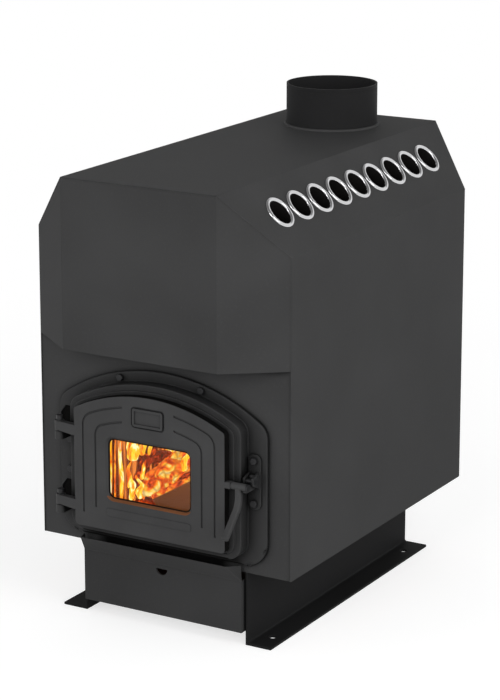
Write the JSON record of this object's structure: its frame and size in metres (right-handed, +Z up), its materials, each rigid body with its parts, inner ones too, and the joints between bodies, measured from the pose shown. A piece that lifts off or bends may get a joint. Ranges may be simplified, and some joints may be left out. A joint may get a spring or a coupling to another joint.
{
  "type": "heating stove",
  "caption": "Wood-burning air-heating stove: steel casing with sloped shoulders, warm-air outlets, flue stub, arched glazed door, ash drawer and a base that bolts to the floor.",
  "frame": {"origin": "on the floor, at the centre of the four bolt holes in the base flanges", "axes": "+Z up along the flue, -Y out through the door, +X to the right of someone facing the door"},
  "size_m": [0.446, 0.7205, 0.7743],
  "materials": {
    "casing_paint": "matt heat-proof paint, graphite black",
    "base_paint": "matt heat-proof paint, black",
    "flue_paint": "matt heat-proof paint, graphite black",
    "firebox_steel": "bare plate, dark with soot",
    "tube_steel": "bare tube, dark with heat",
    "tray_steel": "plain sheet, dulled",
    "door_iron": "cast, matt black paint",
    "grate_iron": "rough cast, burnt",
    "ring_chrome": "polished",
    "bolt_steel": "blackened",
    "seal_rope": "woven glass rope",
    "amber_glass": "clear ceramic glass, lit amber by the fire"
  },
  "bodies": {
    "stove": {"casing_side_right": "casing_paint", "casing_side_left": "casing_paint", "casing_top": "casing_paint", "front_hood": "casing_paint", "hood_soffit": "casing_paint", "rear_hood": "casing_paint", "rear_soffit": "casing_paint", "firebox_wall_right": "firebox_steel", "firebox_wall_left": "firebox_steel", "firebox_crown": "firebox_steel", "firebox_floor": "firebox_steel", "front_plate": "casing_paint", "rear_plate": "casing_paint", "smoke_box_shelf": "firebox_steel", "smoke_box_back": "firebox_steel", "baffle_bars": "firebox_steel", "smoke_baffle": "firebox_steel", "grate": "grate_iron", "convection_tubes_right": "tube_steel", "convection_tubes_left": "tube_steel", "outlet_rings_right": "ring_chrome", "outlet_rings_left": "ring_chrome", "flue_stub": "flue_paint", "flue_ring": "flue_paint", "base_plate_right": "base_paint", "base_plate_left": "base_paint", "base_tie": "base_paint", "door_frame": "door_iron", "frame_bolts": "bolt_steel", "hinge_pins": "bolt_steel", "latch_keeper": "door_iron", "keeper_pin": "bolt_steel", "keeper_bolts": "bolt_steel", "drawer_runner_right": "casing_paint", "drawer_runner_left": "casing_paint"},
    "door": {"door_leaf": "door_iron", "door_rope": "seal_rope", "glass_gasket": "seal_rope", "door_glass": "amber_glass", "glass_clips": "bolt_steel", "glass_screws": "bolt_steel", "handle_pivot": "bolt_steel"},
    "handle": {"door_handle": "door_iron"},
    "ash_drawer": {"drawer_front": "casing_paint", "ash_tray": "tray_steel"}
  },
  "joints": [
    {"name": "door_hinge", "type": "hinge", "parent": "stove", "child": "door", "pos_m": [-0.165, -0.296, 0.25025], "axis": [0, 0, -1], "range_deg": [0, 110]},
    {"name": "handle_turn", "type": "hinge", "parent": "door", "child": "handle", "pos_m": [0.156, -0.2975, 0.2645], "axis": [-1, 0, 0], "range_deg": [0, 60]},
    {"name": "drawer_slide", "type": "slide", "parent": "stove", "child": "ash_drawer", "axis": [0, -1, 0], "range_m": [0, 0.4]}
  ]
}
